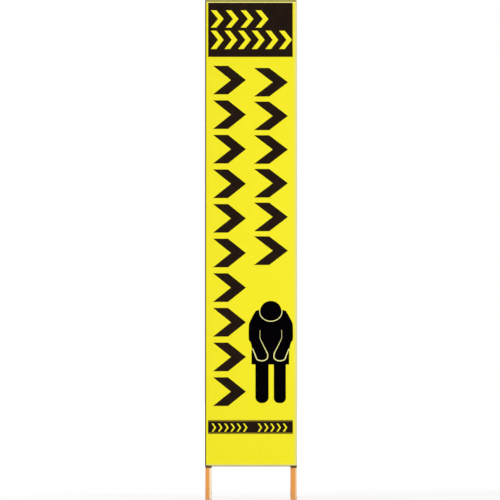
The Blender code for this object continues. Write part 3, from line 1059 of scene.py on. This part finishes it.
class GeometryTree(NodeBook):
    """A Geometry Nodes tree with named inputs, ending in real geometry with a material."""

    def __init__(self, name: str, **inputs: str) -> None:
        """Makes the tree.

        Args:
            name: Its name.
            inputs: The kinds of its inputs, besides the geometry and the material.
        """
        super().__init__(bpy.data.node_groups.new(name, "GeometryNodeTree"))
        self.identifiers: dict[str, str] = {}
        new = self.tree.interface.new_socket
        for key, kind in {"Geometry": "Geometry", **inputs, "Material": "Material"}.items():
            self.identifiers[key] = new(name=key, socket_type=f"NodeSocket{kind}").identifier
        new(name="Geometry", in_out="OUTPUT", socket_type="NodeSocketGeometry")
        self.given = self.add("NodeGroupInput")

    def end(self, node: Node) -> None:
        """Makes a node's instances real, gives them their material and sends them out.

        Args:
            node: The node.
        """
        real = self.add("GeometryNodeRealizeInstances", {0: node})
        inputs = {0: real, "Material": self.out(self.given, "Material")}
        self.add("NodeGroupOutput", {0: self.add("GeometryNodeSetMaterial", inputs)})

    def run(self, name: str, mesh: Mesh, finish: Finish, **values: object) -> Mesh:
        """Runs the tree on a mesh.

        Args:
            name: The name of the result.
            mesh: What the tree starts from.
            finish: The finish of the result.
            values: The tree's other inputs, by name.

        Returns:
            The plain mesh that comes out.
        """
        thing = in_scene(name, mesh)
        modifier = thing.modifiers.new(name, "NODES")
        modifier.node_group = self.tree
        for key, value in {**values, "Material": material_of(finish)}.items():
            modifier[self.identifiers[key]] = value
        result = evaluated_mesh(thing)
        result.name = name
        return result


@cache
def row_tree() -> GeometryTree:
    """A tree that repeats one piece in a straight row of a count and an offset.

    Returns:
        The tree.
    """
    tree = GeometryTree("repeat_in_a_row", Count="Int", Offset="Vector")
    inputs = {key: tree.out(tree.given, key) for key in ("Count", "Offset")}
    line = tree.add("GeometryNodeMeshLine", inputs, mode="OFFSET")
    tree.end(tree.add("GeometryNodeInstanceOnPoints", {"Points": line, "Instance": tree.given}))
    return tree


@cache
def bead_tree() -> GeometryTree:
    """A tree that lays overlapping ripples of weld metal along the edges of a mesh.

    Returns:
        The tree.
    """
    sizes = ("Spacing", "Radius", "Flatness", "Unevenness")
    tree = GeometryTree("weld_bead", **dict.fromkeys(sizes, "Float"))
    spacing, radius, flatness, uneven = (tree.value(tree.given, size) for size in sizes)
    path = tree.add("GeometryNodeMeshToCurve", {0: tree.given})
    points = tree.add("GeometryNodeCurveToPoints", {0: path, "Length": spacing}, mode="LENGTH")
    ripple = tree.add("GeometryNodeMeshUVSphere", {"Segments": 10, "Rings": 6, "Radius": 1.0})
    inputs = {"Min": 1.0 - uneven, "Max": 1.0 + uneven, "Seed": 7}
    random = tree.add("FunctionNodeRandomValue", inputs, data_type="FLOAT")
    reach = radius * tree.value(random, "Value")
    scale = tree.add("ShaderNodeCombineXYZ", {"X": reach, "Y": reach, "Z": reach * flatness})
    inputs = {"Points": points, "Instance": ripple, "Rotation": tree.out(points, "Rotation"), "Scale": scale}
    beads = tree.add("GeometryNodeInstanceOnPoints", inputs)
    tree.end(tree.add("GeometryNodeSetShadeSmooth", {0: beads}))
    return tree


def hand_over(name: str, mesh: Mesh, finish: Finish, body: Body, *nodes: str) -> None:
    """Puts a finished mesh on its body.

    Args:
        name: The piece's name.
        mesh: Its mesh, in the shared frame.
        finish: Its finish.
        body: The body that it rides on.
        nodes: The CAD nodes that it stands for.
    """
    mesh.materials.clear()
    mesh.materials.append(material_of(finish))
    piece = in_scene(name, mesh)
    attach(piece, body.value)
    if nodes:
        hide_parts(*nodes)
    log.info("%s: %d faces on %s", name, len(mesh.polygons), body.value)


def refine(nodes: Iterable[str], finish: Finish, body: Body, width: float = TUBE_BREAK) -> None:
    """Replaces CAD nodes by copies whose sharp edges are broken by a small round of the width."""
    for node in nodes:
        hand_over(f"{node}_fine", edge_broken(f"{node}_fine", node, width), finish, body, node)


# The sign's sub-assemblies


@dataclass
class SignBoard:
    """The folded plate with its flush rivets, and the reflective sheet.

    The shares are radii along a hole or a rivet's head, as parts of the whole radius.
    """

    width: float = 0.275
    height: float = 1.400
    lower_edge: float = 0.101
    sheet_margin: float = 0.0032
    flange_middle: float = 0.0085
    rivet_radius: float = 0.0031
    rivet_depth: float = 0.0011
    rivet_gap: float = 0.00012
    rivet_count: int = 8
    first_rivet: float = 0.050
    hole_ends: Span = (-0.003, 0.0003)
    hole_shares: Span = (0.6, 1.1)
    head_depths: Span = (-0.00002, -0.00035)
    head_shares: tuple[float, ...] = (0.60, 1.0, 0.97, 0.36, 0.32)

    def top(self) -> float:
        """How far up the front frame the board ends."""
        return self.lower_edge + self.height

    def sheet_finish(self) -> ReflectiveSheet:
        """The yellow sheet's finish."""
        right, top, foot, margin = self.width / 2, self.top(), self.lower_edge, self.sheet_margin
        return ReflectiveSheet("yellow_reflective_sheet", right - margin, top - margin, foot + margin)

    def rivet_row(self, name: str, profile: Sequence[Point], sign: int) -> Mesh:
        """A row of one turned shape up one side of the plate, with its axis through the flange.

        Args:
            name: The mesh's name.
            profile: The shape's places out from the flange, and radii.
            sign: -1 for the left side and 1 for the right one.

        Returns:
            The row's mesh.
        """
        mesh = turned(name, profile)
        side = Matrix.Rotation(0.0 if sign > 0 else math.pi, 4, "Z")
        first = (sign * self.width / 2, self.flange_middle, self.lower_edge + self.first_rivet)
        mesh.transform(FRONT.matrix() @ Matrix.Translation(first) @ side)
        offset = FRONT.way(0.0, (self.height - 2 * self.first_rivet) / (self.rivet_count - 1))
        return row_tree().run(name, mesh, RIVET_METAL, Count=self.rivet_count, Offset=offset)

    def build_plate(self) -> None:
        """The plate, with a dimpled hole for each rivet."""
        plate = in_scene("plate_work", cad_copy("sign_plate"))
        inside, outside = self.hole_ends
        neck, mouth = ((self.rivet_radius + self.rivet_gap) * share for share in self.hole_shares)
        hole = [(inside, 0.0), (inside, neck), (-self.rivet_depth, neck), (outside, mouth), (outside, 0.0)]
        cutters = [in_scene(side, self.rivet_row(f"{side}_cutters", hole, sign)) for side, sign in SIDES]
        for cutter in cutters:
            cut = plate.modifiers.new(cutter.name, "BOOLEAN")
            cut.operation = "DIFFERENCE"
            cut.object = cutter
        mesh = smoothed(evaluated_mesh(plate))
        for cutter in cutters:
            bpy.data.objects.remove(cutter, do_unlink=True)
        finish = CoatedPlate("coated_sign_plate", self.width / 2, self.top(), self.lower_edge)
        hand_over("folded_sign_plate", mesh, finish, Body.FRONT, "sign_plate")

    def build_rivets(self) -> None:
        """The flush rivets, each with a small dimple in its head."""
        face, dimple = self.head_depths
        depths = (-self.rivet_depth, -self.rivet_gap, face, face, dimple)
        rounds = [(depth, self.rivet_radius * share) for depth, share in zip(depths, self.head_shares)]
        head = [(-self.rivet_depth, 0.0), *rounds, (dimple, 0.0)]
        for side, sign in SIDES:
            name = f"{side}_plate_rivets"
            hand_over(name, smoothed(self.rivet_row(name, head, sign)), RIVET_METAL, Body.FRONT)

    def build(self) -> None:
        """Builds the board."""
        self.build_plate()
        self.build_rivets()
        mesh = edge_broken("yellow_sheet", "reflective_sheet", SHEET_BREAK)
        hand_over("yellow_sheet", mesh, self.sheet_finish(), Body.FRONT, "reflective_sheet")


@dataclass
class Print:
    """What is screened on the sheet. Each piece bites a little into what it is printed on."""

    board: SignBoard
    bite: float = 0.00005

    def draw(
        self, name: str, outline: Sequence[Point], finish: Finish,
        layer: Layer = Layer.SHEET, count: int = 1, pitch: Point = (0.0, 0.0),
    ) -> None:
        """Prints a drawing, or a row of like ones.

        Args:
            name: The piece's name.
            outline: The drawing's outline on the board.
            finish: Its ink, or the sheet where it is left bare.
            layer: What it is printed on.
            count: How many of them are in the row.
            pitch: How far each is from the one before it.
        """
        depth, thickness = layer.value
        matrix = FRONT.facing(depth + self.bite, self.board.lower_edge)
        mesh = drawn_shape(name, outline, thickness + self.bite, matrix)
        if count > 1:
            mesh = row_tree().run(name, mesh, finish, Count=count, Offset=FRONT.way(*pitch))
        hand_over(name, smoothed(mesh), finish, Body.FRONT)


@dataclass(frozen=True)
class ChevronRow:
    """A row of like chevrons that point right, placed by the first one's lower left corner on the board."""

    name: str
    corner: Point
    size: Point
    arm: float
    pitch: Point
    count: int
    layer: Layer = Layer.INK

    def outline(self) -> list[Point]:
        """The first chevron's outline.

        Returns:
            Its points.
        """
        (x, y), (width, height), arm = self.corner, self.size, self.arm
        lower = [(x, y), (x + arm, y), (x + width, y + height / 2)]
        return lower + [(x + arm, y + height), (x, y + height), (x + width - arm, y + height / 2)]


BAND_MARK = ((0.0135, 0.0243), 0.0052, (0.0187, 0.0))
PRINTED_ROWS = (
    ChevronRow("header_upper_marks", (-0.1204, 1.3164), (0.0382, 0.0519), 0.0165, (0.0447, 0.0), 4),
    ChevronRow("header_lower_marks", (-0.1204, 1.2519), (0.0382, 0.0551), 0.0165, (0.0409, 0.0), 6),
    ChevronRow("right_column", (0.0088, 0.6029), (0.1016, 0.0860), 0.0455, (0.0, 0.1012), 6, Layer.SHEET),
    ChevronRow("left_column", (-0.1138, 0.1803), (0.0986, 0.0860), 0.0450, (0.0, 0.1039), 10, Layer.SHEET),
    ChevronRow("band_left_marks", (-0.1177, 0.1036), *BAND_MARK, 6),
    ChevronRow("band_right_marks", (0.0198, 0.1036), *BAND_MARK, 5),
)


@dataclass
class BoardPrint(Print):
    """The print's panels and rows of chevrons, an olive line along the top edge that is painted shade, and
    the figure among them.
    """

    left: float = -0.1285
    right: float = 0.1247
    header: Span = (1.2281, 1.3912)
    band: Span = (0.0967, 0.1382)
    band_edge: float = 0.0042
    shade_line: float = 0.0028
    shade_line_inset: float = 0.0002

    def panel(self, name: str, low: float, high: float, ink: ScreenInk, layer: Layer) -> None:
        """A panel from side to side between two heights."""
        self.draw(name, rectangle((self.left, low), (self.right, high)), ink, layer)

    def build(self) -> None:
        """Builds the print."""
        low, high = self.band
        self.panel("header_panel", *self.header, PANEL_INK, Layer.SHEET)
        self.panel("foot_band", low, high, PANEL_INK, Layer.SHEET)
        self.panel("band_lower_edge", low, low + self.band_edge, EDGE_INK, Layer.INK)
        self.panel("band_upper_edge", high - self.band_edge, high, EDGE_INK, Layer.INK)
        for row in PRINTED_ROWS:
            finish = self.board.sheet_finish() if row.layer is Layer.INK else PANEL_INK
            self.draw(row.name, row.outline(), finish, row.layer, row.count, row.pitch)
        BowingFigure(self.board).build()
        # The olive line along the top edge is painted shade.
        margin = self.board.sheet_margin + self.shade_line_inset
        half = self.board.width / 2 - margin
        top = self.board.height - margin
        self.draw("top_painted_shade_line", rectangle((-half, top - self.shade_line), (half, top)), TOP_SHADE_INK)


@dataclass
class BowingFigure(Print):
    """A plain figure that bows, with its arms in front, in black with thin pale lines.

    Its right side and right arm are points across from its middle and up from the board's lower edge,
    and the left ones mirror them. A leg has its side, its left and right edges and its corners' radius.
    """

    middle: float = 0.0590
    head_height: float = 0.4629
    head_width: float = 0.0322
    crown: float = 0.0323
    jaw: float = 0.0277
    collar_gap: float = 0.0022
    collar_line: float = 0.0026
    collar_turn: Span = (172.0, 368.0)
    collar_steps: int = 32
    shoulder: Point = (0.0360, 0.4682)
    side: tuple[Point, ...] = (
        (0.0452, 0.4655), (0.0490, 0.4587), (0.0532, 0.4515), (0.0577, 0.4428),
        (0.0618, 0.4350), (0.0651, 0.4262), (0.0663, 0.4080), (0.0658, 0.3800),
        (0.0608, 0.3715), (0.0580, 0.3623), (0.0562, 0.3533),
    )
    skirt: tuple[Point, ...] = ((0.0550, 0.3480), (0.0545, 0.3046), (-0.0577, 0.3046), (-0.0577, 0.3480))
    legs: tuple[tuple[str, float, float, float], ...] = (
        ("left", -0.0460, -0.0066, 0.0180),
        ("right", 0.0088, 0.0449, 0.0155),
    )
    leg_ends: Span = (0.1889, 0.3086)
    corner_steps: int = 8
    arm: tuple[Point, ...] = (
        (0.0322, 0.4075), (0.0321, 0.3839), (0.0264, 0.3705), (0.0202, 0.3577),
        (0.0144, 0.3467), (0.0094, 0.3344), (0.0112, 0.3222), (0.0236, 0.3157),
        (0.0402, 0.3191), (0.0455, 0.3304), (0.0507, 0.3430), (0.0547, 0.3520),
    )
    arm_widths: Span = (0.0012, 0.0033)

    def placed(self, points: Iterable[Point], sign: int = 1) -> list[Point]:
        """Points of the figure placed on the board, or mirrored with a sign of -1."""
        return [(self.middle + sign * x, up) for x, up in points]

    def face(self, gap: float, turn: Span, steps: int = OVAL_STEPS) -> list[Point]:
        """Part of an oval round the face, a gap outside it."""
        return oval((self.middle, self.head_height), (self.head_width + gap, self.jaw + gap), turn, steps)

    def build_legs(self) -> None:
        """The legs, with round corners at their feet."""
        foot, top = self.leg_ends
        for side, low, high, corner in self.legs:
            left, right, radii = self.middle + low, self.middle + high, (corner, corner)
            inner = oval((left + corner, foot + corner), radii, (180.0, 270.0), self.corner_steps)
            outer = oval((right - corner, foot + corner), radii, (270.0, 360.0), self.corner_steps)
            self.draw(f"figure_{side}_leg", [(left, top), *inner, *outer, (right, top)], FIGURE_INK)

    def build(self) -> None:
        """Builds the figure."""
        crown = oval((self.middle, self.head_height), (self.head_width, self.crown), (0.0, 180.0))
        self.draw("figure_head", crown + self.face(0.0, (180.0, 360.0))[1:-1], FIGURE_INK)
        right = [self.shoulder, *flowing(self.side)]
        body = self.placed([*right, *self.skirt]) + self.placed(right[::-1], -1)
        self.draw("figure_body", body + self.face(self.collar_gap, self.collar_turn), FIGURE_INK)
        line = self.face(self.collar_gap / 2, self.collar_turn, self.collar_steps)
        collar = stroke(line, self.collar_line, self.collar_line)
        self.draw("figure_collar_line", collar, PALE_INK, Layer.INK)
        self.build_legs()
        for side, sign in SIDES:
            arm = stroke(self.placed(flowing(self.arm), sign), *self.arm_widths)
            self.draw(f"figure_{side}_arm_line", arm, PALE_INK, Layer.INK)


@dataclass
class TubeFrame:
    """A leaning frame of square tube: its legs, the rails between them, and their welds."""

    lean: Lean
    body: Body
    tube: float
    depth: float
    inner_face: float
    bead: float
    back_inset: float
    stud: str
    rails: tuple[str, ...]
    bead_sink: float = 0.0004
    bead_ends: Span = (0.002, 0.001)
    bead_spacing: float = 0.62
    bead_flatness: float = 0.72
    bead_unevenness: float = 0.10
    weld_top: float = math.inf

    def leg_section(self) -> Section:
        """Where the legs run."""
        across = self.inner_face + self.tube / 2
        return Section(self.lean, self.tube / 2, self.depth, across, stud=self.lean.height_of(self.stud))

    def rail_section(self) -> Section:
        """Where the rails run."""
        heights = tuple(map(self.lean.height_of, self.rails))
        return Section(self.lean, self.tube / 2, self.depth, heights=heights)

    def side_welds(self, sign: int) -> list[Line]:
        """Fillets above, below and behind the rails' ends on one side.

        Args:
            sign: -1 for the left side and 1 for the right one.

        Returns:
            The points that each bead passes, in the frame's own axes.
        """
        lines: list[Line] = []
        half = self.tube / 2
        x = sign * (self.inner_face - self.bead_sink)
        flat, upright = (half - end for end in self.bead_ends)
        back = self.depth + half - self.back_inset
        for middle in map(self.lean.height_of, self.rails):
            for up in (middle - half, middle + half):
                if up < self.weld_top:
                    lines.append([Vector((x, self.depth + reach, up)) for reach in (-flat, flat)])
            lines.append([Vector((x, back, middle + reach)) for reach in (-upright, upright)])
        return lines

    def weld(self, name: str, finish: Finish) -> None:
        """Lays the weld beads of both sides.

        Args:
            name: The piece's name.
            finish: The paint over them.
        """
        paths = bpy.data.meshes.new(name)
        lines = [line for _, sign in SIDES for line in self.side_welds(sign)]
        points = [self.lean.matrix() @ point for line in lines for point in line]
        edges = [(place, place + 1) for place in range(0, len(points), 2)]
        paths.from_pydata(points, edges, [])
        sizes = {"Spacing": self.bead * self.bead_spacing, "Radius": self.bead}
        sizes.update({"Flatness": self.bead_flatness, "Unevenness": self.bead_unevenness})
        hand_over(name, bead_tree().run(name, paths, finish, **sizes), finish, self.body)


@dataclass
class FrontFrame(TubeFrame):
    """The front frame's tubes, straps, feet and welds."""

    lean: Lean = FRONT
    body: Body = Body.FRONT
    tube: float = 0.019
    depth: float = 0.0095
    inner_face: float = 0.1176
    bead: float = 0.0019
    back_inset: float = 0.0010
    stud: str = "left_stay_pivot_stud"
    rails: tuple[str, ...] = ("top_rail", "upper_rail", "middle_rail", "bottom_rail")
    board: SignBoard = field(default_factory=SignBoard)
    weld_clearance: float = 0.004
    strap_half: float = 0.0242
    strap_sink: float = 0.0026
    strap_depths: Span = (0.003, 0.016)

    def __post_init__(self) -> None:
        """Ends the welds just under the board's top."""
        self.weld_top = self.board.top() - self.weld_clearance

    def side_welds(self, sign: int) -> list[Line]:
        """The rails' fillets on one side, and those along the strap's ends.

        Args:
            sign: -1 for the left side and 1 for the right one.

        Returns:
            The points that each bead passes, in the frame's own axes.
        """
        lines = super().side_welds(sign)
        x = sign * (self.inner_face - self.strap_sink)
        for reach in (-self.strap_half, self.strap_half):
            up = self.lean.height_at(FOLD) + reach
            lines.append([Vector((x, depth, up)) for depth in self.strap_depths])
        return lines

    def build(self) -> None:
        """Builds the front frame."""
        edge = self.board.lower_edge
        legs = UprightPaint("orange_upright_paint", self.leg_section(), board_edge=edge)
        refine(["left_upright", "right_upright"], legs, self.body)
        refine(self.rails, PowderCoat("orange_rail_paint", self.rail_section()), self.body)
        refine(["left_hinge_strap", "right_hinge_strap"], BRACKET_PAINT, self.body)
        refine(["left_front_foot", "right_front_foot"], ORANGE_PLASTIC, self.body)
        self.weld("front_frame_welds", BRACKET_PAINT)


@dataclass
class RearFrame(TubeFrame):
    """The rear prop's legs, rails, plugs, studs and welds."""

    lean: Lean = REAR
    body: Body = Body.REAR
    tube: float = 0.016
    depth: float = 0.0
    inner_face: float = 0.1187
    bead: float = 0.0017
    back_inset: float = 0.0009
    stud: str = "left_latch_stud"
    rails: tuple[str, ...] = ("rear_upper_rail", "rear_lower_rail")

    def build(self) -> None:
        """Builds the rear frame."""
        paint = PowderCoat("orange_rear_rail_paint", self.rail_section())
        legs = PowderCoat("orange_rear_leg_paint", self.leg_section())
        refine(["left_rear_leg", "right_rear_leg"], legs, self.body)
        refine(self.rails, paint, self.body)
        plugs = ["left_rear_foot", "right_rear_foot", "left_rear_top_plug", "right_rear_top_plug"]
        refine(plugs, ORANGE_PLASTIC, self.body)
        refine(["left_latch_stud", "right_latch_stud"], FASTENER_ZINC, self.body, FITTING_BREAK)
        self.weld("rear_frame_welds", paint)


@dataclass
class Hinges:
    """The hinge bolts, nuts and washers, and the studs that the stays turn on."""

    edge_break: float = FITTING_BREAK

    def build(self) -> None:
        """Builds the fasteners."""
        for side, _ in SIDES:
            metal = [f"{side}_hinge_bolt", f"{side}_hinge_nut", f"{side}_stay_pivot_stud"]
            refine(metal, FASTENER_ZINC, Body.FRONT, self.edge_break)
            refine([f"{side}_hinge_washer"], WHITE_NYLON, Body.FRONT, self.edge_break)


@dataclass
class Stays:
    """The two hooked flat bars."""

    edge_break: float = STAY_BREAK

    def build(self) -> None:
        """Builds the stays."""
        for body in (Body.LEFT_STAY, Body.RIGHT_STAY):
            refine([body.value], STAY_ZINC, body, self.edge_break)


@dataclass
class Studio:
    """The pale floor, the white surroundings, the soft lamps and the camera."""

    picture_height: float = 1.4946
    picture_middle: Point = (-0.0032, 0.7461)
    board_depth: float = -0.170
    lens: float = 800.0
    sensor: float = 36.0
    view_end: float = 200.0
    ambient: float = 0.62
    floor_size: float = 40.0
    aim: Triple = (0.0, 0.0, 0.75)
    lamps: tuple[tuple[str, Triple, Point, float], ...] = (
        ("key_lamp", (3.6, -5.4, 1.5), (2.0, 2.4), 125.0),
        ("fill_lamp", (-4.2, -4.6, 2.2), (2.0, 2.0), 56.0),
        ("back_lamp", (-1.6, 3.0, 2.4), (1.8, 1.4), 46.0),
    )

    def build_floor(self) -> None:
        """The plain floor."""
        work = bmesh.new()
        bmesh.ops.create_grid(work, x_segments=1, y_segments=1, size=self.floor_size / 2)
        floor = in_scene("studio_floor", outward("studio_floor", work))
        floor.data.materials.append(material_of(PaleFloor("studio_floor")))

    def build_world(self) -> None:
        """White surroundings, dimmer as a source of soft light."""
        world = bpy.data.worlds.new("studio_world")
        bpy.context.scene.world = world
        world.use_nodes = True
        book = NodeBook(world.node_tree)
        background = book.tree.nodes["Background"]
        seen = book.seen()
        book.give(background.inputs["Strength"], seen + (1.0 - seen) * self.ambient)
        book.give(background.inputs["Color"], WHITE)

    def build_lamps(self) -> None:
        """The soft rectangular lamps, aimed at the middle of the sign."""
        for name, place, size, watts in self.lamps:
            light = bpy.data.lights.new(name, "AREA")
            light.shape = "RECTANGLE"
            light.size, light.size_y = size
            light.energy = watts
            lamp = in_scene(name, light)
            lamp.location = place
            lamp.rotation_euler = (Vector(self.aim) - Vector(place)).to_track_quat("-Z", "Y").to_euler()

    def build_camera(self) -> None:
        """A long lens, level with the middle of the sign, that fills the picture with it."""
        camera = bpy.data.cameras.new("camera")
        camera.lens = self.lens
        camera.sensor_width = self.sensor
        camera.clip_end = self.view_end
        distance = self.picture_height * self.lens / self.sensor
        thing = in_scene("camera", camera)
        thing.location = (self.picture_middle[0], self.board_depth - distance, self.picture_middle[1])
        thing.rotation_euler = (math.pi / 2, 0.0, 0.0)
        bpy.context.scene.camera = thing

    def build(self) -> None:
        """Builds the studio."""
        bpy.context.scene.view_settings.view_transform = "Standard"
        self.build_floor()
        self.build_world()
        self.build_lamps()
        self.build_camera()


def main() -> None:
    """Builds the studio and the sign, each piece of which is reported as it is handed over."""
    logging.basicConfig(level=logging.INFO, format="%(message)s")
    board = SignBoard()
    parts = (Studio(), board, BoardPrint(board), FrontFrame(board=board), RearFrame(), Hinges(), Stays())
    for part in parts:
        part.build()
        log.info("built: %s", type(part).__name__)


if __name__ == "__main__":
    main()
